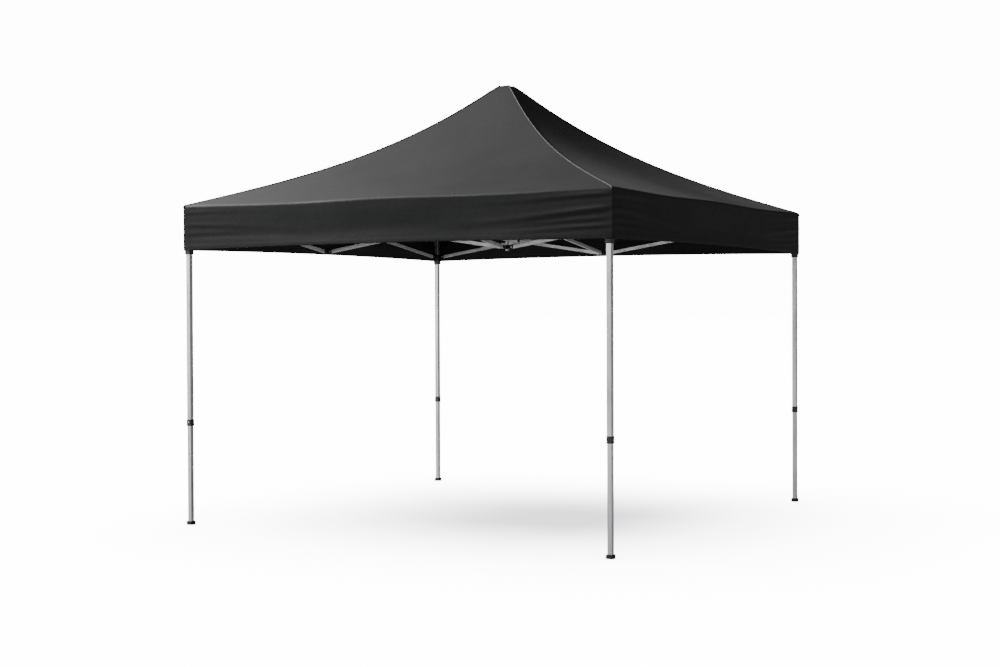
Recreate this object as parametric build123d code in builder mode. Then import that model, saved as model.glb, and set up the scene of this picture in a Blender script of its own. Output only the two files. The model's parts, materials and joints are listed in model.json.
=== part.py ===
from build123d import *
from math import cos, radians, sin, sqrt
import os

# A pop up canopy: four telescopic legs, a ring of scissor trusses, four centre trusses
# that carry a mast, and one fabric roof with a valance.
# Millimetres, +Z up, origin on the floor below the mast. The front side faces -Y.
# Everything repeats four times about Z: each side k has a frame of its own, with u along
# the side, v outward and z up, and owns the leg at its u = +leg_pitch, v = +leg_pitch end.

os.makedirs("parts", exist_ok=True)

# overall sizes
leg_pitch = 1475.0            # leg axis to centre line, along both sides
high_pivot_z = 1985.0         # upper pivots of every truss
truss_height = 215.0          # upper pivots down to the lower ones when the roof is up
valance_drop = 282.0          # eave down to the valance's lower edge
roof_rise = 828.0             # eave up to the peak

# running fits
fit = 0.05                    # pin in its lug, tube in its socket
pivot_clearance = 0.1         # bar on its pin
slide_clearance = 0.3         # tube in tube
gap = 0.1                     # between pieces that lie face to face

# truss bars
bar_height = 24.0
bar_thickness = 12.0
bar_wall = 1.2
bar_edge = 1.2
bar_gap = 2.0                 # between the two bars of a scissor
plug_clearance = 0.2
plug_length = 18.0

# pins and lugs
pin_radius = 4.0
head_radius = 6.5
head_height = 2.0
cap_radius = 10.0
cap_height = 3.0
lug_height = 22.0
lug_thickness = 5.0
lug_gap = 0.3                 # between a lug and its bar
lug_bite = 1.0                # a lug starts this far inside its block

# upper leg, top bracket and collar
tube_width = 31.0
tube_wall = 1.0
tube_round = 2.5
tube_above = 15.0             # above the high pivots
bracket_wall = 5.0
bracket_top = 24.0            # above the high pivots
bracket_bottom = 28.0         # below the high pivots
bracket_round = 3.0
collar_wall = 2.0
collar_z = 627.0
collar_height = 40.0
collar_lip = 4.0
collar_round = 2.0

# lower leg and foot
lower_wall = 1.0
lower_overlap = 270.0         # length held inside the upper leg
hole_radius = 4.5
hole_pitch = 100.0
hole_count = 4
foot_wall = 7.3
foot_height = 24.0
foot_floor = 6.0
foot_round = 4.0

# press buttons
height_button_radius = 5.0
height_button_length = 2.5
height_button_stand = 1.4     # proud of the collar
height_button_edge = 0.7
slider_button_radius = 5.0
slider_button_length = 3.8
slider_button_stand = 1.9     # proud of the slider
slider_button_edge = 0.6
slider_button_up = 11.5       # above the slider's lower edge
button_clearance = 0.2

# slider
slider_below = 58.0           # below the low pivots
slider_above = 20.0
slider_over_collar = 0.6      # the bore passes over the collar
slider_skin = 1.2             # wall left behind the groove for the height button
groove_width = 14.0
groove_clearance = 0.4

# connectors, hub and mast
connector_width = 26.0
connector_height = 26.0
connector_round = 3.0
hub_wall = 3.2
hub_height = 26.0
mast_radius = 12.5
mast_wall = 1.5
mast_guide = 0.3              # radial, in the hub
mast_tail = 25.0              # below the low pivots
mast_below_peak = 225.0       # top of the lower mast
upper_mast_wall = 1.2
upper_mast_above = 115.0      # foot of the upper mast, above the high pivots
peak_cap_radius = 30.0
peak_cap_height = 38.0
peak_cap_round = 7.5
peak_cap_socket = 20.0

# room left beside the bars' round ends
leg_room = 11.5
side_room = 5.0
centre_room = 8.9

# fabric roof
fabric = 1.5
fabric_clearance = 1.1        # frame to the valance's inner face
eave_clearance = 6.5          # top brackets to the underside of the roof
peak_half = 35.0
peak_clearance = 2.5          # mast cap to the underside of the roof
hip_sag = 0.38                # 0 is a straight hip
roof_steps = 5

SIDES = ["front", "right", "rear", "left"]
LEGS = ["front_right", "rear_right", "rear_left", "front_left"]

# the widths that follow from the tubes
lower_width = tube_width - 2 * tube_wall - 2 * slide_clearance
bracket_width = tube_width + 2 * bracket_wall
collar_width = tube_width + 2 * collar_wall
foot_width = lower_width + 2 * foot_wall
groove_depth = height_button_stand + groove_clearance - slider_over_collar
slider_bore = collar_width + 2 * slider_over_collar
slider_width = slider_bore + 2 * (groove_depth + slider_skin)
hub_width = 2 * (mast_radius + mast_guide + hub_wall)
upper_mast_radius = mast_radius - mast_wall - slide_clearance

# where the bars lie beside each other, from the middle of their truss
layer = (bar_gap + bar_thickness) / 2
near_face = bar_gap / 2
far_face = bar_gap / 2 + bar_thickness
pin_end = far_face + lug_gap + lug_thickness + gap + head_height

# pivot places, from the axis of the piece that carries them
leg_reach = slider_width / 2 + bar_height / 2 + leg_room
side_reach = connector_width / 2 + bar_height / 2 + side_room
centre_reach = far_face + gap + head_height + bar_height / 2 + centre_room
hub_reach = leg_reach + side_reach - centre_reach

# bar lengths and heights
bar_run = leg_pitch - leg_reach - side_reach
bar_length = sqrt(bar_run**2 + truss_height**2)
low_pivot_z = high_pivot_z - truss_height
tube_top_z = high_pivot_z + tube_above
button_z = collar_z + (collar_height + collar_lip) / 2
eave_z = high_pivot_z + bracket_top + eave_clearance + fabric
valance_z = eave_z - valance_drop
peak_z = eave_z + roof_rise
mast_top_z = peak_z - mast_below_peak
upper_mast_z = high_pivot_z + upper_mast_above
frame_half = max(bracket_width / 2, pin_end, slider_width / 2 + slider_button_stand)
fabric_half = leg_pitch + frame_half + fabric_clearance + fabric


def place(side, u, v, z):
    """The point, or the direction, (u, v, z) of a side's own frame."""
    turn = radians(90 * side)
    x = u * cos(turn) + v * sin(turn)
    y = u * sin(turn) - v * cos(turn)
    return Vector(x, y, z)


def level(side, u, v, z):
    """A level plane with its x along the side."""
    return Plane(origin=place(side, u, v, z), x_dir=place(side, 1, 0, 0), z_dir=(0, 0, 1))


def upright(side, centre, toward, normal):
    """An upright plane through centre, with its x in the direction toward."""
    return Plane(
        origin=place(side, *centre), x_dir=place(side, *toward), z_dir=place(side, *normal)
    )


def rivet(face, low, high, radius=head_radius, height=head_height):
    """A headed pin through everything between low and high on the face's normal."""
    with BuildSketch(face.offset(low - gap - height)) as near_head:
        Circle(radius)
    extrude(near_head.sketch, amount=height)
    with BuildSketch(face.offset(low - gap)) as shank:
        Circle(pin_radius)
    extrude(shank.sketch, amount=high - low + 2 * gap)
    with BuildSketch(face.offset(high + gap)) as far_head:
        Circle(radius)
    extrude(far_head.sketch, amount=height)


def lug(face, root, reach):
    """A plate from root to a drilled round end at reach, standing on the face."""
    with BuildSketch(face) as plate:
        with Locations(((root + reach) / 2, 0)):
            Rectangle(reach - root, lug_height)
        with Locations((reach, 0)):
            Circle(lug_height / 2)
            Circle(pin_radius + fit, mode=Mode.SUBTRACT)
    extrude(plate.sketch, amount=lug_thickness)


def bar(face):
    """A scissor bar from its pivot at the face's origin: round-ended tube and end plugs."""
    middle = bar_length / 2
    with BuildSketch(face) as outline:
        with Locations((middle, 0)):
            SlotCenterToCenter(bar_length, bar_height)
    extrude(outline.sketch, amount=bar_thickness / 2, both=True)
    fillet(edges().filter_by(lambda e: abs(face.to_local_coords(e.center()).Z) > near_face), bar_edge)
    with BuildSketch(face) as hollow:
        with Locations((middle, 0)):
            Rectangle(bar_length + 2 * bar_height, bar_height - 2 * bar_wall)
    extrude(hollow.sketch, amount=bar_thickness / 2 - bar_wall, both=True, mode=Mode.SUBTRACT)
    with BuildSketch(face) as plugs:
        with Locations((plug_length / 2, 0), (bar_length - plug_length / 2, 0)):
            SlotCenterToCenter(plug_length, bar_height - 2 * bar_wall - 2 * plug_clearance)
    extrude(plugs.sketch, amount=bar_thickness / 2 - bar_wall - plug_clearance, both=True)
    with BuildSketch(face) as holes:
        with Locations((0, 0), (middle, 0), (bar_length, 0)):
            Circle(pin_radius + pivot_clearance)
    extrude(holes.sketch, amount=bar_thickness, both=True, mode=Mode.SUBTRACT)


def crossing(face, to_partner):
    """The capped pin and the spacer that join a bar to its partner at mid length."""
    origin = face.from_local_coords(Vector(bar_length / 2, 0, layer * to_partner))
    middle = Plane(origin=origin, x_dir=face.x_dir, z_dir=face.z_dir)
    rivet(middle, -far_face, far_face, cap_radius, cap_height)
    with BuildSketch(middle) as spacer:
        Circle(cap_radius)
        Circle(pin_radius + pivot_clearance, mode=Mode.SUBTRACT)
    extrude(spacer.sketch, amount=bar_gap / 2 - gap, both=True)


def square_tube(face, width, wall, radius, length):
    """A square tube with round corners, standing on the face."""
    with BuildSketch(face) as section:
        RectangleRounded(width, width, radius)
        RectangleRounded(width - 2 * wall, width - 2 * wall, radius - wall / 2, mode=Mode.SUBTRACT)
    extrude(section.sketch, amount=length)


def save(piece, name):
    piece.part.label = name
    export_step(piece.part, f"parts/{name}.step")


# ---- ring trusses: on each side two scissors, one either way from the mid connectors ----
# The rising bar goes from the lower connector up to the leg's top bracket, in the inner
# layer. The falling bar goes from the upper connector down to the slider, in the outer one.
for side, side_name in enumerate(SIDES):
    for way, end_name in ((1, "a"), (-1, "b")):
        rising_face = upright(
            side,
            (way * side_reach, leg_pitch - layer, low_pivot_z),
            (way * bar_run, 0, truss_height),
            (0, 1, 0),
        )
        with BuildPart() as rising_bar:
            bar(rising_face)
            crossing(rising_face, 1)
        save(rising_bar, f"rising_bar_{side_name}_{end_name}")

        falling_face = upright(
            side,
            (way * side_reach, leg_pitch + layer, high_pivot_z),
            (way * bar_run, 0, -truss_height),
            (0, 1, 0),
        )
        with BuildPart() as falling_bar:
            bar(falling_face)
        save(falling_bar, f"falling_bar_{side_name}_{end_name}")

# ---- centre trusses: one scissor from the middle to each side's connectors ----
# The rafter bar hangs from the hub and falls to the lower connector. The mast bar rises
# from the mast's foot to the upper connector.
for side, side_name in enumerate(SIDES):
    rafter_face = upright(
        side, (layer, hub_reach, high_pivot_z), (0, bar_run, -truss_height), (1, 0, 0)
    )
    with BuildPart() as rafter_bar:
        bar(rafter_face)
        crossing(rafter_face, -1)
    save(rafter_bar, f"rafter_bar_{side_name}")

    mast_bar_face = upright(
        side, (-layer, hub_reach, low_pivot_z), (0, bar_run, truss_height), (1, 0, 0)
    )
    with BuildPart() as mast_bar:
        bar(mast_bar_face)
    save(mast_bar, f"mast_bar_{side_name}")

# ---- mid connectors: moulded blocks with a lug and a pin for each bar ----
for side, side_name in enumerate(SIDES):
    for height_name, pivot_z, outer, inner in (
        ("lower", low_pivot_z, -1, 1),
        ("upper", high_pivot_z, 1, -1),
    ):
        with BuildPart() as connector:
            with BuildSketch(level(side, 0, leg_pitch, pivot_z - connector_height / 2)):
                RectangleRounded(connector_width, connector_width, connector_round)
            extrude(amount=connector_height)
            for way in (1, -1):
                face = upright(side, (0, leg_pitch, pivot_z), (way, 0, 0), (0, -outer, 0))
                lug(face.offset(lug_gap - near_face), connector_width / 2 - lug_bite, side_reach)
            face = upright(side, (0, leg_pitch, pivot_z), (0, -1, 0), (-inner, 0, 0))
            lug(face.offset(lug_gap - near_face), connector_width / 2 - lug_bite, centre_reach)
            for way in (1, -1):
                face = upright(
                    side, (way * side_reach, leg_pitch, pivot_z), (1, 0, 0), (0, -outer, 0)
                )
                rivet(face, -far_face, lug_gap - near_face + lug_thickness)
            face = upright(
                side, (0, leg_pitch - centre_reach, pivot_z), (0, 1, 0), (-inner, 0, 0)
            )
            rivet(face, -far_face, lug_gap - near_face + lug_thickness)
        save(connector, f"{height_name}_connector_{side_name}")

# ---- roof hub: guides the mast and carries the four rafter bars ----
with BuildPart() as roof_hub:
    with BuildSketch(Plane.XY.offset(high_pivot_z - hub_height / 2)):
        RectangleRounded(hub_width, hub_width, connector_round)
        Circle(mast_radius + mast_guide, mode=Mode.SUBTRACT)
    extrude(amount=hub_height)
    for side in range(4):
        face = upright(side, (0, 0, high_pivot_z), (0, 1, 0), (-1, 0, 0))
        lug(face.offset(lug_gap - near_face), hub_width / 2 - lug_bite, hub_reach)
    for side in range(4):
        face = upright(side, (0, hub_reach, high_pivot_z), (0, 1, 0), (-1, 0, 0))
        rivet(face, -far_face, lug_gap - near_face + lug_thickness)
save(roof_hub, "roof_hub")

# ---- mast: the lower tube has the foot bracket of the mast bars, the upper tube the cap ----
with BuildPart() as mast_lower:
    with BuildSketch(Plane.XY.offset(low_pivot_z - mast_tail)):
        Circle(mast_radius)
        Circle(mast_radius - mast_wall, mode=Mode.SUBTRACT)
    extrude(amount=mast_top_z - low_pivot_z + mast_tail)
    with BuildSketch(Plane.XY.offset(low_pivot_z - hub_height / 2)):
        RectangleRounded(hub_width, hub_width, connector_round)
        Circle(mast_radius + fit, mode=Mode.SUBTRACT)
    extrude(amount=hub_height)
    for side in range(4):
        face = upright(side, (0, 0, low_pivot_z), (0, 1, 0), (1, 0, 0))
        lug(face.offset(lug_gap - near_face), hub_width / 2 - lug_bite, hub_reach)
    for side in range(4):
        face = upright(side, (0, hub_reach, low_pivot_z), (0, 1, 0), (1, 0, 0))
        rivet(face, -far_face, lug_gap - near_face + lug_thickness)
save(mast_lower, "mast_lower")

cap_z = peak_z - fabric - peak_clearance - peak_cap_height
with BuildPart() as mast_upper:
    with BuildSketch(Plane.XY.offset(cap_z)):
        Circle(peak_cap_radius)
    extrude(amount=peak_cap_height)
    fillet(faces().sort_by(Axis.Z)[-1].edges(), peak_cap_round)
    with BuildSketch(Plane.XY.offset(cap_z)):
        Circle(upper_mast_radius + fit)
        Circle(upper_mast_radius - upper_mast_wall - fit, mode=Mode.SUBTRACT)
    extrude(amount=peak_cap_socket, mode=Mode.SUBTRACT)
    with BuildSketch(Plane.XY.offset(upper_mast_z)):
        Circle(upper_mast_radius)
        Circle(upper_mast_radius - upper_mast_wall, mode=Mode.SUBTRACT)
    extrude(amount=cap_z + peak_cap_socket - gap - upper_mast_z)
save(mast_upper, "mast_upper")

# ---- legs ----
for side, leg_name in enumerate(LEGS):
    corner = (leg_pitch, leg_pitch)
    tube_z = collar_z + collar_lip + gap

    # upper leg: square tube, top bracket with the ring trusses' high pivots, and collar
    with BuildPart() as upper_leg:
        square_tube(level(side, *corner, tube_z), tube_width, tube_wall, tube_round, tube_top_z - tube_z)
        with BuildSketch(level(side, *corner, high_pivot_z - bracket_bottom)):
            RectangleRounded(bracket_width, bracket_width, bracket_round)
            RectangleRounded(tube_width + 2 * fit, tube_width + 2 * fit, tube_round, mode=Mode.SUBTRACT)
        extrude(amount=tube_top_z + gap - high_pivot_z + bracket_bottom)
        with BuildSketch(level(side, *corner, tube_top_z + gap)):
            RectangleRounded(bracket_width, bracket_width, bracket_round)
        extrude(amount=high_pivot_z + bracket_top - tube_top_z - gap)
        axis_high = (*corner, high_pivot_z)
        own_face = upright(side, axis_high, (-1, 0, 0), (0, 1, 0))
        next_face = upright(side, axis_high, (0, -1, 0), (1, 0, 0))
        for face in (own_face, next_face):
            lug(face.offset(lug_gap - near_face), bracket_width / 2 - lug_bite, leg_reach)
        own_pin = upright(side, (leg_pitch - leg_reach, leg_pitch, high_pivot_z), (1, 0, 0), (0, 1, 0))
        next_pin = upright(side, (leg_pitch, leg_pitch - leg_reach, high_pivot_z), (0, 1, 0), (1, 0, 0))
        for face in (own_pin, next_pin):
            rivet(face, -far_face, lug_gap - near_face + lug_thickness)
        with BuildSketch(level(side, *corner, collar_z)):
            RectangleRounded(collar_width, collar_width, collar_round)
            RectangleRounded(
                lower_width + 2 * slide_clearance,
                lower_width + 2 * slide_clearance,
                tube_round - tube_wall,
                mode=Mode.SUBTRACT,
            )
        extrude(amount=collar_lip)
        with BuildSketch(level(side, *corner, collar_z + collar_lip)):
            RectangleRounded(collar_width, collar_width, collar_round)
            RectangleRounded(tube_width + 2 * fit, tube_width + 2 * fit, tube_round, mode=Mode.SUBTRACT)
        extrude(amount=collar_height - collar_lip)
        button_face = upright(side, (*corner, button_z), (0, 1, 0), (1, 0, 0))
        with BuildSketch(button_face.offset(lower_width / 2)):
            Circle(height_button_radius + button_clearance)
        extrude(amount=collar_width / 2, mode=Mode.SUBTRACT)
    save(upper_leg, f"upper_leg_{leg_name}")

    # height button: pressed in through the collar and the upper tube
    with BuildPart() as height_button:
        outer_end = collar_width / 2 + height_button_stand
        with BuildSketch(button_face.offset(outer_end - height_button_length)):
            Circle(height_button_radius)
        extrude(amount=height_button_length)
        fillet(faces().sort_by(Axis(button_face.origin, button_face.z_dir))[-1].edges(), height_button_edge)
    save(height_button, f"height_button_{leg_name}")

    # lower leg: inner tube with a row of height holes under the button
    with BuildPart() as lower_leg:
        lower_top = collar_z + lower_overlap
        square_tube(
            level(side, *corner, foot_floor + gap),
            lower_width,
            lower_wall,
            tube_round - tube_wall / 2,
            lower_top - foot_floor - gap,
        )
        for step in range(hole_count):
            hole_z = button_z - step * hole_pitch
            hole_face = upright(side, (*corner, hole_z), (0, 1, 0), (1, 0, 0))
            with BuildSketch(hole_face):
                Circle(hole_radius)
            extrude(amount=lower_width, mode=Mode.SUBTRACT)
    save(lower_leg, f"lower_leg_{leg_name}")

    # foot: moulded block pushed on the lower leg
    with BuildPart() as foot:
        with BuildSketch(level(side, *corner, 0)):
            RectangleRounded(foot_width, foot_width, foot_round)
        extrude(amount=foot_height)
        fillet(faces().sort_by(Axis.Z)[-1].edges(), foot_round / 2)
        with BuildSketch(level(side, *corner, foot_floor)):
            RectangleRounded(
                lower_width + 2 * fit, lower_width + 2 * fit, tube_round - tube_wall / 2
            )
        extrude(amount=foot_height, mode=Mode.SUBTRACT)
    save(foot, f"foot_{leg_name}")

    # slider: a sleeve wide enough to drop over the collar, with the low pivots
    with BuildPart() as slider:
        slider_z = low_pivot_z - slider_below
        slider_height = slider_below + slider_above
        with BuildSketch(level(side, *corner, slider_z)):
            RectangleRounded(slider_width, slider_width, bracket_round)
            RectangleRounded(slider_bore, slider_bore, collar_round, mode=Mode.SUBTRACT)
        extrude(amount=slider_height)
        with BuildSketch(level(side, leg_pitch + slider_bore / 2, leg_pitch, slider_z)):
            Rectangle(2 * groove_depth, groove_width)
        extrude(amount=slider_height, mode=Mode.SUBTRACT)
        axis_low = (*corner, low_pivot_z)
        own_face = upright(side, axis_low, (-1, 0, 0), (0, 1, 0))
        next_face = upright(side, axis_low, (0, -1, 0), (1, 0, 0))
        for face in (own_face, next_face):
            lug(face.offset(far_face + lug_gap), slider_width / 2 - lug_bite, leg_reach)
        own_pin = upright(side, (leg_pitch - leg_reach, leg_pitch, low_pivot_z), (1, 0, 0), (0, 1, 0))
        next_pin = upright(side, (leg_pitch, leg_pitch - leg_reach, low_pivot_z), (0, 1, 0), (1, 0, 0))
        for face in (own_pin, next_pin):
            rivet(face, near_face, far_face + lug_gap + lug_thickness)
        slider_button_z = slider_z + slider_button_up
        press_face = upright(side, (*corner, slider_button_z), (1, 0, 0), (0, 1, 0))
        with BuildSketch(press_face):
            Circle(slider_button_radius + button_clearance)
        extrude(amount=slider_width, mode=Mode.SUBTRACT)
    save(slider, f"slider_{leg_name}")

    # slider button: releases the slider from the leg
    with BuildPart() as slider_button:
        outer_end = slider_width / 2 + slider_button_stand
        with BuildSketch(press_face.offset(outer_end - slider_button_length)):
            Circle(slider_button_radius)
        extrude(amount=slider_button_length)
        fillet(faces().sort_by(Axis(press_face.origin, press_face.z_dir))[-1].edges(), slider_button_edge)
    save(slider_button, f"slider_button_{leg_name}")


# ---- fabric roof: valance walls and four panels with sagging hips, open below ----
# It is parted along the hips and wherever its profile bends, so every strip is a flat plate
# and collision follows the fabric instead of filling the room under it.
def ring_half(step):
    """Half the width of the roof's square at this bend of its profile."""
    return fabric_half + (peak_half - fabric_half) * step / roof_steps


def ring_z(step):
    """Height of the roof at this bend: the hips sag below a straight line."""
    climb = step / roof_steps
    return eave_z + roof_rise * ((1 - hip_sag) * climb + hip_sag * climb**3)


def roof_solid(inset):
    """The solid under the roof surface, moved in and down by inset."""
    with BuildSketch(Plane.XY.offset(valance_z)) as walls:
        Rectangle(2 * (fabric_half - inset), 2 * (fabric_half - inset))
    extrude(walls.sketch, amount=eave_z - inset - valance_z)
    for step in range(roof_steps):
        rings = []
        for end in (step, step + 1):
            with BuildSketch(Plane.XY.offset(ring_z(end) - inset)) as ring:
                Rectangle(2 * (ring_half(end) - inset), 2 * (ring_half(end) - inset))
            rings.append(ring.sketch)
        loft(rings, ruled=True)


with BuildPart() as roof_core:
    roof_solid(fabric)

bend_heights = [ring_z(step) for step in range(1, roof_steps)]
with BuildPart() as canopy_cover:
    roof_solid(0)
    add(roof_core.part, mode=Mode.SUBTRACT)
    for height in [eave_z - fabric, *bend_heights, peak_z - fabric]:
        with BuildSketch(Plane.XY.offset(height)) as bend:
            Rectangle(2 * fabric_half, 2 * fabric_half)
        extrude(bend.sketch, amount=-gap, mode=Mode.SUBTRACT)
    with BuildSketch(Plane.XY.offset(valance_z)) as hips:
        for turn in (45, 135):
            with Locations(Location((0, 0, 0), (0, 0, turn))):
                Rectangle(4 * fabric_half, gap)
    extrude(hips.sketch, amount=peak_z - fabric - valance_z, mode=Mode.SUBTRACT)
save(canopy_cover, "canopy_cover")
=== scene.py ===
import json
from math import atan2, cos, exp, pi, radians, sin

import bmesh
import bpy
from mathutils import Euler, Matrix, Vector, noise

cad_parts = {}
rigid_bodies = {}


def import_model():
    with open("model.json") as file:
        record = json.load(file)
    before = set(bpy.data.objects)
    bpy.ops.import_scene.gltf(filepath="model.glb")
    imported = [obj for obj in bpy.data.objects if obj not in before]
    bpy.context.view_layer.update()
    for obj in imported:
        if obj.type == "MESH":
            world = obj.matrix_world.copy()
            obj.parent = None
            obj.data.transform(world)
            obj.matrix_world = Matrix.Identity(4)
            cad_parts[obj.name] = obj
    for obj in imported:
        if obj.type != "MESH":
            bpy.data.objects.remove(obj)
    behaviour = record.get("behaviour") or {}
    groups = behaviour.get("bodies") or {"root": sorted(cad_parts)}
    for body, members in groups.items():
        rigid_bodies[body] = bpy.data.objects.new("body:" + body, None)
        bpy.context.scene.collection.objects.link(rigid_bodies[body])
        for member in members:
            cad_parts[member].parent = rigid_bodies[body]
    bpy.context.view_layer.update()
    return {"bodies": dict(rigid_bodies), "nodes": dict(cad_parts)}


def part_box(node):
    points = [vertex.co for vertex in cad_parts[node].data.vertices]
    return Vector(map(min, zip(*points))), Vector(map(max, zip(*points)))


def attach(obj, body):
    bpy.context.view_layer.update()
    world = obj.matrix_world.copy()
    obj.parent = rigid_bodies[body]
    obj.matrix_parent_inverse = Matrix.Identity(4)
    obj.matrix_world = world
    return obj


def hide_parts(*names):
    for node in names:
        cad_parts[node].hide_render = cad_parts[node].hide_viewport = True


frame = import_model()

# ---- Leg tubes, brackets, collars and height buttons ----
# Each leg is a square aluminium tube sliding in a wider one. A black nylon bracket is pushed
# on its top end and a black collar on its lower end, where a steel snap button holds the
# height. The tubes are drawn, satin anodised and a little scuffed.
LEGS = ("front_right", "rear_right", "rear_left", "front_left")
SIDES = ("front", "right", "rear", "left")
tube_colour = (0.60, 0.61, 0.63)
tube_worn_colour = (0.47, 0.48, 0.50)
nylon_colour = (0.012, 0.012, 0.013)
nylon_worn_colour = (0.030, 0.030, 0.032)
zinc_colour = (0.50, 0.50, 0.48)
zinc_worn_colour = (0.33, 0.33, 0.32)


def new_finish(name, colour, roughness, metallic=0.0):
    """A material with its one shader; each section adds its own pattern."""
    finish = bpy.data.materials.new(name)
    finish.use_nodes = True
    shader = finish.node_tree.nodes["Principled BSDF"]
    shader.inputs["Base Color"].default_value = (*colour, 1.0)
    shader.inputs["Roughness"].default_value = roughness
    shader.inputs["Metallic"].default_value = metallic
    return finish, shader


def grain(finish, scale, stretch=(1.0, 1.0, 1.0), detail=4.0):
    """A noise pattern, drawn out along an axis where its stretch is small."""
    nodes, links = finish.node_tree.nodes, finish.node_tree.links
    place = nodes.new("ShaderNodeTexCoord")
    mapping = nodes.new("ShaderNodeMapping")
    mapping.inputs["Scale"].default_value = stretch
    pattern = nodes.new("ShaderNodeTexNoise")
    pattern.inputs["Scale"].default_value = scale
    pattern.inputs["Detail"].default_value = detail
    links.new(place.outputs["Object"], mapping.inputs["Vector"])
    links.new(mapping.outputs["Vector"], pattern.inputs["Vector"])
    return pattern.outputs["Fac"]


def tone(finish, shader, pattern, dark, light, low=0.35, high=0.65):
    """The colour runs from dark to light with the pattern."""
    ramp = finish.node_tree.nodes.new("ShaderNodeValToRGB")
    ramp.color_ramp.elements[0].position = low
    ramp.color_ramp.elements[0].color = (*dark, 1.0)
    ramp.color_ramp.elements[1].position = high
    ramp.color_ramp.elements[1].color = (*light, 1.0)
    finish.node_tree.links.new(pattern, ramp.inputs["Fac"])
    finish.node_tree.links.new(ramp.outputs["Color"], shader.inputs["Base Color"])
    return ramp


def gloss(finish, shader, pattern, low, high):
    """The roughness runs from low to high with the pattern."""
    span = finish.node_tree.nodes.new("ShaderNodeMapRange")
    span.inputs["From Min"].default_value = 0.3
    span.inputs["From Max"].default_value = 0.7
    span.inputs["To Min"].default_value = low
    span.inputs["To Max"].default_value = high
    finish.node_tree.links.new(pattern, span.inputs["Value"])
    finish.node_tree.links.new(span.outputs["Result"], shader.inputs["Roughness"])


def relief(finish, shader, pattern, depth, strength):
    """The pattern raises the surface by depth, in metres."""
    bump = finish.node_tree.nodes.new("ShaderNodeBump")
    bump.inputs["Distance"].default_value = depth
    bump.inputs["Strength"].default_value = strength
    finish.node_tree.links.new(pattern, bump.inputs["Height"])
    finish.node_tree.links.new(bump.outputs["Normal"], shader.inputs["Normal"])
    return bump


weld_distance = 5e-6


def solids_of(mesh):
    """The triangles of each solid in a CAD mesh, with the longest side of its box."""
    shape = bmesh.new()
    shape.from_mesh(mesh)
    number = shape.faces.layers.int.new("number")
    shape.faces.ensure_lookup_table()
    for count, face in enumerate(shape.faces):
        face[number] = count
    bmesh.ops.remove_doubles(shape, verts=shape.verts, dist=weld_distance)
    found, left = [], set(shape.faces)
    while left:
        joined, waiting = [], [left.pop()]
        while waiting:
            face = waiting.pop()
            joined.append(face)
            for edge in face.edges:
                for other in edge.link_faces:
                    if other in left:
                        left.remove(other)
                        waiting.append(other)
        points = [vert.co for face in joined for vert in face.verts]
        longest = max(
            max(point[axis] for point in points) - min(point[axis] for point in points)
            for axis in range(3)
        )
        found.append(([face[number] for face in joined], longest))
    shape.free()
    return found


def finish_solids(node_name, finishes, tube_from=0.0, block_from=0.0):
    """Tubes are at least tube_from long, blocks at least block_from, and pins are smaller."""
    mesh = frame["nodes"][node_name].data
    mesh.materials.clear()
    for finish in finishes:
        mesh.materials.append(finish)
    for numbers, longest in solids_of(mesh):
        slot = 0 if longest >= tube_from else 1 if longest >= block_from else 2
        for number in numbers:
            mesh.polygons[number].material_index = slot


leg_aluminium, shader = new_finish("leg_aluminium", tube_colour, 0.36, metallic=0.9)
draw_lines = grain(leg_aluminium, 900.0, stretch=(1.0, 1.0, 0.004), detail=3.0)
scuffs = grain(leg_aluminium, 9.0, stretch=(1.0, 1.0, 0.35), detail=6.0)
tone(leg_aluminium, shader, scuffs, tube_worn_colour, tube_colour, 0.30, 0.52)
gloss(leg_aluminium, shader, scuffs, 0.46, 0.32)
relief(leg_aluminium, shader, draw_lines, 0.00004, 0.6)

black_nylon, shader = new_finish("black_nylon", nylon_colour, 0.46)
spark_texture = grain(black_nylon, 1400.0, detail=2.0)
rubbed = grain(black_nylon, 26.0, detail=5.0)
tone(black_nylon, shader, rubbed, nylon_colour, nylon_worn_colour, 0.48, 0.72)
gloss(black_nylon, shader, rubbed, 0.40, 0.56)
relief(black_nylon, shader, spark_texture, 0.00006, 0.7)

zinc_rivet, shader = new_finish("zinc_rivet", zinc_colour, 0.38, metallic=1.0)
blotches = grain(zinc_rivet, 220.0, detail=4.0)
tone(zinc_rivet, shader, blotches, zinc_worn_colour, zinc_colour)
gloss(zinc_rivet, shader, blotches, 0.50, 0.30)

leg_tube_from = 1.0
block_from = 0.03              # every moulded block is longer than this, and every pin shorter
for leg in LEGS:
    finish_solids(
        f"upper_leg_{leg}", (leg_aluminium, black_nylon, zinc_rivet), leg_tube_from, block_from
    )
    finish_solids(f"lower_leg_{leg}", (leg_aluminium,))
    finish_solids(f"height_button_{leg}", (zinc_rivet,))

# ---- Feet ----
# A square block of tough black rubber is pushed on the end of each lower tube. It is the
# one part that meets the ground, so it is matt and dusty in patches.
rubber_colour = (0.014, 0.014, 0.014)
dust_colour = (0.060, 0.056, 0.050)

foot_rubber, shader = new_finish("foot_rubber", rubber_colour, 0.62)
dust = grain(foot_rubber, 60.0, stretch=(1.0, 1.0, 2.5), detail=7.0)
tone(foot_rubber, shader, dust, rubber_colour, dust_colour, 0.50, 0.80)
gloss(foot_rubber, shader, dust, 0.52, 0.80)
relief(foot_rubber, shader, grain(foot_rubber, 1100.0, detail=2.0), 0.00008, 0.8)
for leg in LEGS:
    finish_solids(f"foot_{leg}", (foot_rubber,))

# ---- Sliders and their buttons ----
# A nylon sleeve rides on each leg below the bracket and carries the lower ends of the ring
# bars. Its push button, of the same nylon, frees it so that the frame can fold.
slider_button_colour = (0.020, 0.020, 0.022)

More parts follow.
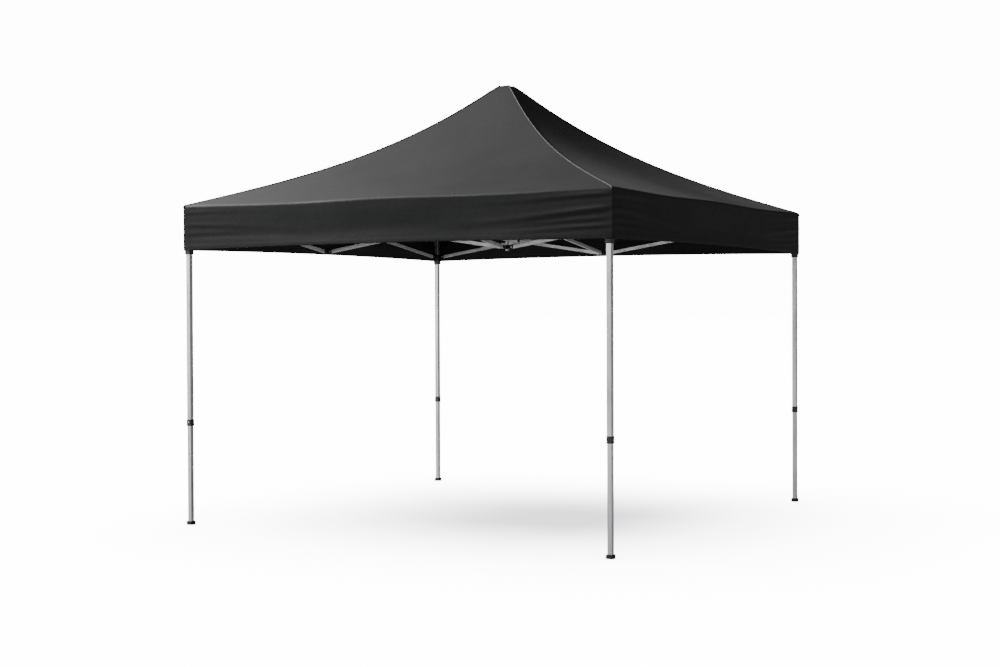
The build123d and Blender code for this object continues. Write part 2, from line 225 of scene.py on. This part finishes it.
button_nylon, shader = new_finish("button_nylon", slider_button_colour, 0.34)
thumb_wear = grain(button_nylon, 180.0, detail=4.0)
tone(button_nylon, shader, thumb_wear, slider_button_colour, nylon_worn_colour, 0.45, 0.75)
gloss(button_nylon, shader, thumb_wear, 0.24, 0.42)
nylon_with_pins = (black_nylon, black_nylon, zinc_rivet)
for leg in LEGS:
    finish_solids(f"slider_{leg}", nylon_with_pins, leg_tube_from, block_from)
    finish_solids(f"slider_button_{leg}", (button_nylon,))

# ---- Truss bars ----
# Flat-sided aluminium tubes with round ends, paler and more matt than the legs. Each end is
# plugged with nylon and blacked over its joint, and a nylon cap closes each crossing pin.
bar_colour = (0.74, 0.74, 0.75)
bar_worn_colour = (0.60, 0.60, 0.61)
bar_metallic = 0.75
bar_tube_from = 0.9
ring_bar_bare = (0.047, 1.416)       # the bare length runs between these, from the middle out
centre_bar_bare = (0.053, 1.424)


def bar_finish(name, pick_axis, bare):
    """Aluminium with black ends. The distance along the bar is the smaller or the larger of
    x and y, and the tube is bare between the two distances given."""
    finish, shader = new_finish(name, bar_colour, 0.42, metallic=bar_metallic)
    scuffs = grain(finish, 14.0, detail=6.0)
    ramp = tone(finish, shader, scuffs, bar_worn_colour, bar_colour, 0.34, 0.56)
    gloss(finish, shader, scuffs, 0.52, 0.36)
    relief(finish, shader, grain(finish, 700.0, detail=3.0), 0.00003, 0.5)
    nodes, links = finish.node_tree.nodes, finish.node_tree.links

    def worked_out(operation, first, second=None):
        step = nodes.new("ShaderNodeMath")
        step.operation = operation
        for socket, value in zip(step.inputs, (first, second)):
            if isinstance(value, float):
                socket.default_value = value
            elif value is not None:
                links.new(value, socket)
        return step.outputs["Value"]

    place = nodes.new("ShaderNodeTexCoord")
    split = nodes.new("ShaderNodeSeparateXYZ")
    links.new(place.outputs["Object"], split.inputs["Vector"])
    across, deep = (worked_out("ABSOLUTE", split.outputs[axis]) for axis in ("X", "Y"))
    along = worked_out(pick_axis, across, deep)
    inner_end = worked_out("LESS_THAN", along, bare[0])
    outer_end = worked_out("GREATER_THAN", along, bare[1])
    capped = worked_out("ADD", inner_end, outer_end)
    cap = nodes.new("ShaderNodeMix")
    cap.data_type = "RGBA"
    cap.inputs["B"].default_value = (*nylon_colour, 1.0)
    links.new(capped, cap.inputs["Factor"])
    links.new(ramp.outputs["Color"], cap.inputs["A"])
    links.new(cap.outputs["Result"], shader.inputs["Base Color"])
    metal = nodes.new("ShaderNodeMapRange")
    metal.inputs["To Min"].default_value = bar_metallic
    metal.inputs["To Max"].default_value = 0.0
    links.new(capped, metal.inputs["Value"])
    links.new(metal.outputs["Result"], shader.inputs["Metallic"])
    return finish


ring_bar_aluminium = bar_finish("ring_bar_aluminium", "MINIMUM", ring_bar_bare)
centre_bar_aluminium = bar_finish("centre_bar_aluminium", "MAXIMUM", centre_bar_bare)
ring_bar_finishes = (ring_bar_aluminium, black_nylon)
centre_bar_finishes = (centre_bar_aluminium, black_nylon)
for side in SIDES:
    for bar in ("rising_bar", "falling_bar"):
        for half in ("a", "b"):
            finish_solids(f"{bar}_{side}_{half}", ring_bar_finishes, bar_tube_from)
    for bar in ("rafter_bar", "mast_bar"):
        finish_solids(f"{bar}_{side}", centre_bar_finishes, bar_tube_from)

# ---- Connectors, hub and mast ----
# Nylon blocks join the bars in the middle of each side. The hub guides the mast, a pair of
# round aluminium tubes with a nylon cap that lifts the roof.
mast_tube_from = 0.5
for side in SIDES:
    for height in ("lower", "upper"):
        finish_solids(f"{height}_connector_{side}", nylon_with_pins, leg_tube_from, block_from)
finish_solids("roof_hub", nylon_with_pins, leg_tube_from, block_from)
for mast in ("mast_lower", "mast_upper"):
    finish_solids(mast, (leg_aluminium, black_nylon, zinc_rivet), mast_tube_from, block_from)

# ---- Roof cover ----
# One sewn cover of coated polyester: four panels joined along the hips, and a valance that
# hangs from the eave and is hemmed. The mast stretches it, so the hips sag a little, the
# panels dish inwards between them, and tension creases fan out from the corners.
cover_low, cover_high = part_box("canopy_cover")
cover_half = cover_high.x
hem_z = cover_low.z
peak_z = cover_high.z
cloth_over_bracket = 0.008
eave_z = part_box("upper_leg_front_right")[1].z + cloth_over_bracket
peak_half = 0.035
peak_crown = 0.006
peak_shoulder = 0.035          # share of the climb in which the cloth bends onto the peak
hip_sag = 0.38
roll_radius = 0.021
roll_start = 0.34              # slope of the panel where the eave starts to roll, radians
cells = 120
crowding = 1.30                # the cells are smaller towards the middle and the peak
roll_rows = 6
valance_rows = 42
hem_height = 0.028
hem_stand = 0.0009
hem_bow = 0.014
cloth_thickness = 0.0009
panel_dish = 0.020
eave_droop = 0.009
droop_reach = 0.22
fan_depth = 0.0040             # creases that fan out over the panel from each corner
fan_count = 17.0
fan_start = 0.10
fan_reach = 0.75
drift_depth = 0.006            # slow unevenness of the panels
drift_scale = 1.9


def turn_to(side, u, v, z):
    """A side's own (along, outward, up) as a point in the frame; side 0 is the front."""
    turn = side * pi / 2
    return Vector((u * cos(turn) + v * sin(turn), u * sin(turn) - v * cos(turn), z))


def side_of(x, y):
    """Which side a point belongs to, and how far along and out from the middle it is."""
    side = 0 if -y >= abs(x) else 1 if x >= abs(y) else 2 if y >= abs(x) else 3
    turn = side * pi / 2
    return side, x * cos(turn) + y * sin(turn), x * sin(turn) - y * cos(turn)


def fold_line(across, width):
    """The section of one crease: a soft ridge with a shallow gutter under it."""
    reach = across / width
    return exp(-reach * reach) - 0.55 * exp(-(reach + 1.5) ** 2)


def panel_height(side, u, v):
    """Height of the roof panel at u along and v out."""
    climb = (cover_half - v) / (cover_half - peak_half)
    if climb >= 1.0:
        return peak_z - peak_crown * (v / peak_half) ** 2
    height = eave_z + (peak_z - eave_z) * ((1 - hip_sag) * climb + hip_sag * climb**3)
    height -= peak_crown * max(0.0, (climb - (1 - peak_shoulder)) / peak_shoulder)
    share = u / v
    inside = 1 - share * share
    height -= panel_dish * sin(pi * min(1.0, climb * 1.1) ** 0.8) * inside
    near_eave = exp(-(cover_half - v) / droop_reach)
    height -= eave_droop * near_eave * sin(pi * share) ** 2
    for end in (-1, 1):
        from_corner = Vector((u - end * cover_half, cover_half - v))
        away = from_corner.length
        lean = atan2(from_corner.y, -end * from_corner.x)
        fade = exp(-away / fan_reach) * (1 - exp(-away / fan_start)) * inside
        height += fan_depth * fade * sin(fan_count * lean + 1.7 * side + 0.6 * end)
    drift = noise.noise(Vector((u * drift_scale, v * drift_scale, 3.1 * side)))
    height += drift_depth * drift * inside * min(1.0, climb * 8) * min(1.0, (1 - climb) * 8)
    return height


creases = (                    # height over the hem, fall per metre, width, depth, reach
    (0.242, 0.020, 0.0110, 0.0062, 0.32),
    (0.167, 0.060, 0.0130, 0.0080, 0.45),
    (0.112, 0.030, 0.0100, 0.0030, 0.55),
    (0.069, 0.010, 0.0110, 0.0064, 0.36),
    (0.074, -0.010, 0.0190, -0.0040, 3.00),
)
crease_start = 0.05            # the creases begin this far in from the corner
long_crease = 1.0              # a crease that reaches further is the same at every corner
valance_hollow = 0.0045
valance_swing = 0.006
valance_ripple = 0.0022


def valance_out(side, share, u, z):
    """How far the valance stands out of its plane."""
    drop = (eave_z - z) / (eave_z - hem_z)
    inside = 1 - share * share
    out = -valance_hollow * inside * sin(pi * min(1.0, max(0.0, drop)))
    for end in (-1, 1):
        away = cover_half - end * u
        pull = 0.7 + 0.4 * sin(2.1 * side + 1.3 * end)
        wobble = 0.006 * sin(5.1 * away + side + end)
        for start, fall, width, depth, reach in creases:
            fade = exp(-away / reach) * (1 - exp(-away / crease_start))
            fade *= pull if reach < long_crease else 0.5
            line = hem_z + start - fall * away + wobble
            out += depth * fade * fold_line(z - line, width * (1 + 0.8 * away))
    hang = max(0.0, drop) ** 1.5
    swing = noise.noise(Vector((u * 2.3, side * 5.7, 0.4)))
    ripple = noise.noise(Vector((u * 1.4, z * 9.0, side * 2.9 + 7.0)))
    out += valance_swing * hang * inside * swing + valance_ripple * inside * ripple
    if z < hem_z + hem_bow * inside + hem_height:
        out += hem_stand
    return out


cover = bmesh.new()
bmesh.ops.create_grid(cover, x_segments=cells, y_segments=cells, size=1.0)
for vert in cover.verts:
    for axis in (0, 1):
        reach = vert.co[axis]
        vert.co[axis] = (abs(reach) ** crowding) * (1 if reach > 0 else -1)
grid_tolerance = 1e-5
on_hip = [
    vert for vert in cover.verts if abs(abs(vert.co.x) - abs(vert.co.y)) < grid_tolerance
]
bmesh.ops.connect_verts(cover, verts=on_hip)
row_of = cover.verts.layers.int.new("row")
edge_loop = [edge for edge in cover.edges if edge.is_boundary]
for row in range(1, roll_rows + valance_rows + 1):
    grown = bmesh.ops.extrude_edge_only(cover, edges=edge_loop)["geom"]
    for part in grown:
        if isinstance(part, bmesh.types.BMVert):
            part[row_of] = row
    edge_loop = [part for part in grown if isinstance(part, bmesh.types.BMEdge)]
bmesh.ops.recalc_face_normals(cover, faces=cover.faces)

roof_reach = cover_half - roll_radius * (1 - sin(roll_start))
corner_ease = 60               # the folds fade out over the last sixtieth of each half side
cloth = cover.loops.layers.uv.new("cloth")
plan = {}
for vert in cover.verts:
    side, u, v = side_of(vert.co.x, vert.co.y)
    share = u / v if v > 1e-9 else 0.0
    row = vert[row_of]
    if row == 0:
        u, v = u * roof_reach, v * roof_reach
        z = panel_height(side, u, max(v, 1e-6)) if v > 1e-6 else peak_z
        run = cover_half - v
        vert.co = turn_to(side, u, v, z)
    else:
        edge_height = panel_height(side, share * roof_reach, roof_reach)
        centre_z = edge_height - roll_radius * cos(roll_start)
        if row <= roll_rows:
            bend = roll_start + (pi / 2 - roll_start) * row / roll_rows
            v = cover_half - roll_radius * (1 - sin(bend))
            z = centre_z + roll_radius * cos(bend)
            out = valance_out(side, share, share * cover_half, z) * (row / roll_rows) ** 2
            run = -roll_radius * bend
        else:
            down = (row - roll_rows) / valance_rows
            lower = hem_z + hem_bow * (1 - share * share)
            z = centre_z + (lower - centre_z) * down
            v = cover_half
            out = valance_out(side, share, share * cover_half, z)
            run = -roll_radius * pi / 2 - (centre_z - z)
        corner = min(1.0, (1 - abs(share)) * corner_ease)
        v += out * corner
        u = share * v
        vert.co = turn_to(side, u, v, z)
    plan[vert] = (share * cover_half if row else u, run)
for face in cover.faces:
    for loop in face.loops:
        loop[cloth].uv = plan[loop.vert]
    face.smooth = True
if sum(face.normal.z for face in cover.faces) < 0:
    bmesh.ops.reverse_faces(cover, faces=cover.faces)
hip_tolerance = 1e-4
for edge in cover.edges:
    first, last = edge.verts
    ends = [side_of(vert.co.x, vert.co.y) for vert in edge.verts]
    along_hip = all(abs(abs(u) - v) < hip_tolerance for side, u, v in ends)
    if along_hip and first.co.z != last.co.z:
        edge.smooth = False
piping_from = 0.02             # the piping stops this far short of the very peak
hip_points = {}
for vert in cover.verts:
    side, u, v = side_of(vert.co.x, vert.co.y)
    if abs(abs(u) - v) < hip_tolerance and v > piping_from and vert[row_of] <= roll_rows:
        corner = (vert.co.x > 0, vert.co.y > 0)
        hip_points.setdefault(corner, []).append(vert.co.copy())
cover_mesh = bpy.data.meshes.new("roof_cover")
cover.to_mesh(cover_mesh)
cover.free()
roof_cover = bpy.data.objects.new("roof_cover", cover_mesh)
bpy.context.scene.collection.objects.link(roof_cover)

# The frame carries the cloth when it folds: each corner goes with its leg, the middle of
# each side with its upper connector, and the peak with the mast. The cloth between them
# stands out and up in pleats, because it is far wider than the folded frame.
leg_axis = 1.475
still_half = 0.045             # cloth this near the mast cap keeps its width
pleats = 6.0
pleat_stand = 0.12
pleat_rise = 0.30
pleat_full = 0.45              # the pleats have their full height from this far out


def carried_by(point):
    """The share of each body's travel that the cloth at this point takes."""
    side, u, v = side_of(point.x, point.y)
    share = u / v if v > 1e-6 else 0.0
    wave = sin(pleats * pi / 2 * share) ** 2 * min(1.0, v / pleat_full)
    hold = 1 - pleat_stand * wave
    across, deep = (
        min(1.0, max(0.0, abs(reach) - still_half) / (leg_axis - still_half))
        for reach in (point.x, point.y)
    )
    end = ("rear" if point.y > 0 else "front", "right" if point.x > 0 else "left")
    height = max(0.0, (point.z - eave_z) / (peak_z - eave_z))
    rise = pleat_rise * 4 * height * max(0.0, 1 - height) * wave
    return {
        f"upper_leg_{end[0]}_{end[1]}": across * deep * hold,
        f"upper_connector_{end[1]}": across * (1 - deep) * hold,
        f"upper_connector_{end[0]}": deep * (1 - across) * hold,
        "mast_upper": max(0.0, min(1.0, height) - rise),
    }


def hang_on_frame(piece):
    """The piece rides on the hub and is pulled by the bodies that hold the cover."""
    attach(piece, "roof_hub")
    pulls = {}
    for vert in piece.data.vertices:
        for body, share in carried_by(vert.co).items():
            if share > 0:
                pulls.setdefault(body, []).append((vert.index, share))
    for body in sorted(pulls):
        group = piece.vertex_groups.new(name=body)
        for index, share in pulls[body]:
            group.add((index,), share, "REPLACE")
        pull = piece.modifiers.new(f"pull_{body}", "HOOK")
        pull.object = frame["bodies"][body]
        pull.matrix_inverse = Matrix.Identity(4)
        pull.vertex_group = body
        pull.falloff_type = "NONE"
        pull.strength = 1.0


hang_on_frame(roof_cover)
body_of_cloth = roof_cover.modifiers.new("cloth", "SOLIDIFY")
body_of_cloth.thickness = cloth_thickness
body_of_cloth.offset = -1.0
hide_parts("canopy_cover")

cloth_colour = (0.0044, 0.0044, 0.0047)
cloth_faded_colour = (0.0074, 0.0074, 0.0078)
threads_scale = 520.0
roof_polyester, shader = new_finish("roof_polyester", cloth_colour, 0.72)
shader.inputs["Sheen Weight"].default_value = 0.03
shader.inputs["Sheen Roughness"].default_value = 0.45
shader.inputs["Specular IOR Level"].default_value = 0.30
fading = grain(roof_polyester, 1.7, detail=5.0)
tone(roof_polyester, shader, fading, cloth_colour, cloth_faded_colour, 0.36, 0.68)
gloss(roof_polyester, shader, fading, 0.64, 0.78)
nodes, links = roof_polyester.node_tree.nodes, roof_polyester.node_tree.links
cloth_place = nodes.new("ShaderNodeUVMap")
cloth_place.uv_map = "cloth"
threads = []
for direction in ("X", "Y"):
    thread = nodes.new("ShaderNodeTexWave")
    thread.wave_type = "BANDS"
    thread.bands_direction = direction
    thread.inputs["Scale"].default_value = threads_scale
    links.new(cloth_place.outputs["UV"], thread.inputs["Vector"])
    threads.append(thread.outputs["Fac"])
weave = nodes.new("ShaderNodeMath")
weave.operation = "MAXIMUM"
links.new(threads[0], weave.inputs[0])
links.new(threads[1], weave.inputs[1])
crumple = grain(roof_polyester, 14.0, detail=5.0)
raised = relief(roof_polyester, shader, weave.outputs["Value"], 0.00006, 0.5)
soft = nodes.new("ShaderNodeBump")
soft.inputs["Distance"].default_value = 0.0035
soft.inputs["Strength"].default_value = 0.30
links.new(crumple, soft.inputs["Height"])
links.new(soft.outputs["Normal"], raised.inputs["Normal"])
cover_mesh.materials.append(roof_polyester)

# ---- Hip piping ----
# A corded strip is sewn in along each hip, from the corner of the eave to the peak. It is
# the same cloth, pulled tight over its cord and a little glossier, with a painted highlight:
# its colour is several times lighter than the cloth's.
cord_radius = 0.0036
cord_out = 0.0008              # how far the cord's middle stands off the cloth
cord_up = 0.0014
# painted highlight: several times lighter than the cloth, it stands in for the light line
# along each hip
piping_highlight_colour = (0.020, 0.020, 0.021)

# the twill runs from the faded cloth colour up to the painted highlight colour
piping_cloth_painted_highlight, shader = new_finish("piping_cloth_painted_highlight", piping_highlight_colour, 0.50)
shader.inputs["Sheen Weight"].default_value = 0.03
twill = grain(piping_cloth_painted_highlight, 240.0, detail=3.0)
tone(piping_cloth_painted_highlight, shader, twill, cloth_faded_colour, piping_highlight_colour, 0.30, 0.60)
relief(piping_cloth_painted_highlight, shader, twill, 0.0003, 0.6)
for corner, points in hip_points.items():
    end = "rear" if corner[1] else "front"
    name = f"hip_piping_{end}_{'right' if corner[0] else 'left'}"
    points.sort(key=lambda point: point.z)
    line = bpy.data.curves.new(name, "CURVE")
    line.dimensions = "3D"
    line.bevel_depth = cord_radius
    line.bevel_resolution = 2
    line.use_fill_caps = True
    run = line.splines.new("POLY")
    run.points.add(len(points) - 1)
    for knot, point in zip(run.points, points):
        outward = Vector((point.x, point.y, 0)).normalized()
        knot.co = (*(point + outward * cord_out + Vector((0, 0, cord_up))), 1.0)
    drawn = bpy.data.objects.new(name, line)
    bpy.context.scene.collection.objects.link(drawn)
    bpy.context.view_layer.update()
    ready = drawn.evaluated_get(bpy.context.evaluated_depsgraph_get())
    mesh = bpy.data.meshes.new_from_object(ready)
    bpy.data.objects.remove(drawn)
    for polygon in mesh.polygons:
        polygon.use_smooth = True
    mesh.materials.clear()
    mesh.materials.append(piping_cloth_painted_highlight)
    piping = bpy.data.objects.new(name, mesh)
    bpy.context.scene.collection.objects.link(piping)
    hang_on_frame(piping)

# ---- Studio ----
# A plain white floor that runs out of sight into a white surround. A soft light stands high
# on the left, and a wide weak card at the front left gives the legs their shine. Both miss
# the floor, which has a light of its own that leaves the canopy's soft shadow.
floor_half = 200.0
floor_white = (0.86, 0.86, 0.86, 1.0)
floor_bounce = (0.008, 0.008, 0.008, 1.0)
shadow_floor = 2.0             # the floor's light in the deepest shadow
backdrop_strength = 14.0
surround_strength = 0.12

floor_shape = bmesh.new()
bmesh.ops.create_grid(floor_shape, x_segments=8, y_segments=8, size=floor_half)
floor_mesh = bpy.data.meshes.new("studio_floor")
floor_shape.to_mesh(floor_mesh)
floor_shape.free()
studio_floor = bpy.data.objects.new("studio_floor", floor_mesh)
bpy.context.scene.collection.objects.link(studio_floor)
floor_paint, shader = new_finish("floor_paint", floor_white[:3], 0.9)
nodes, links = floor_paint.node_tree.nodes, floor_paint.node_tree.links
ray = nodes.new("ShaderNodeLightPath")
paint = nodes.new("ShaderNodeMix")
paint.data_type = "RGBA"
paint.inputs["A"].default_value = floor_bounce
paint.inputs["B"].default_value = floor_white
links.new(ray.outputs["Is Camera Ray"], paint.inputs["Factor"])
links.new(paint.outputs["Result"], shader.inputs["Base Color"])
glow = nodes.new("ShaderNodeMapRange")
glow.inputs["To Min"].default_value = 0.0
glow.inputs["To Max"].default_value = shadow_floor
links.new(ray.outputs["Is Camera Ray"], glow.inputs["Value"])
links.new(glow.outputs["Result"], shader.inputs["Emission Strength"])
shader.inputs["Emission Color"].default_value = (1.0, 1.0, 1.0, 1.0)
floor_mesh.materials.append(floor_paint)

surround = bpy.data.worlds.new("surround")
surround.use_nodes = True
nodes, links = surround.node_tree.nodes, surround.node_tree.links
ray = nodes.new("ShaderNodeLightPath")
strength = nodes.new("ShaderNodeMapRange")
strength.inputs["To Min"].default_value = surround_strength
strength.inputs["To Max"].default_value = backdrop_strength
links.new(ray.outputs["Is Camera Ray"], strength.inputs["Value"])
links.new(strength.outputs["Result"], nodes["Background"].inputs["Strength"])
nodes["Background"].inputs["Color"].default_value = (1.0, 1.0, 1.0, 1.0)
bpy.context.scene.world = surround

all_but_floor = bpy.data.collections.new("all_but_floor")
all_but_floor.objects.link(studio_floor)
all_but_floor.collection_objects[0].light_linking.link_state = "EXCLUDE"
lights = (                     # name, place, width, height, power, what it points at
    ("key_softbox", (-6.5, -2.2, 7.0), 3.0, 3.0, 2000.0, (0.0, 0.0, 1.8)),
    ("front_card", (-8.0, -12.0, 2.2), 10.5, 4.8, 560.0, (0.0, 0.0, 1.2)),
)
for name, spot, width, height, power, target in lights:
    lamp = bpy.data.lights.new(name, "AREA")
    lamp.shape = "RECTANGLE"
    lamp.size = width
    lamp.size_y = height
    lamp.energy = power
    lamp_object = bpy.data.objects.new(name, lamp)
    lamp_object.location = spot
    lamp_object.light_linking.receiver_collection = all_but_floor
    aim = Vector(target) - Vector(spot)
    lamp_object.rotation_euler = aim.to_track_quat("-Z", "Y").to_euler()
    bpy.context.scene.collection.objects.link(lamp_object)

floor_only = bpy.data.collections.new("floor_only")
floor_only.objects.link(studio_floor)
sun = bpy.data.lights.new("floor_light", "SUN")
sun.energy = 50.0
sun.angle = radians(70.0)
sun_object = bpy.data.objects.new("floor_light", sun)
sun_object.rotation_euler = (radians(-2.0), radians(-10.0), 0.0)
sun_object.light_linking.receiver_collection = floor_only
bpy.context.scene.collection.objects.link(sun_object)

# ---- Camera ----
# Eye height, off the front right corner, level but for a degree.
eye = (5.314, -9.366, 1.362)
look_down, turn_left, roll = 0.0155, 0.5208, -0.0040
camera_data = bpy.data.cameras.new("camera")
camera_data.sensor_width = 36.0
camera_data.lens = 58.16
camera_data.clip_end = 300.0
camera = bpy.data.objects.new("camera", camera_data)
camera.matrix_world = (
    Matrix.Translation(eye)
    @ Euler((pi / 2 - look_down, 0.0, turn_left)).to_matrix().to_4x4()
    @ Matrix.Rotation(roll, 4, "Z")
)
bpy.context.scene.collection.objects.link(camera)
bpy.context.scene.camera = camera

bpy.context.view_layer.update()
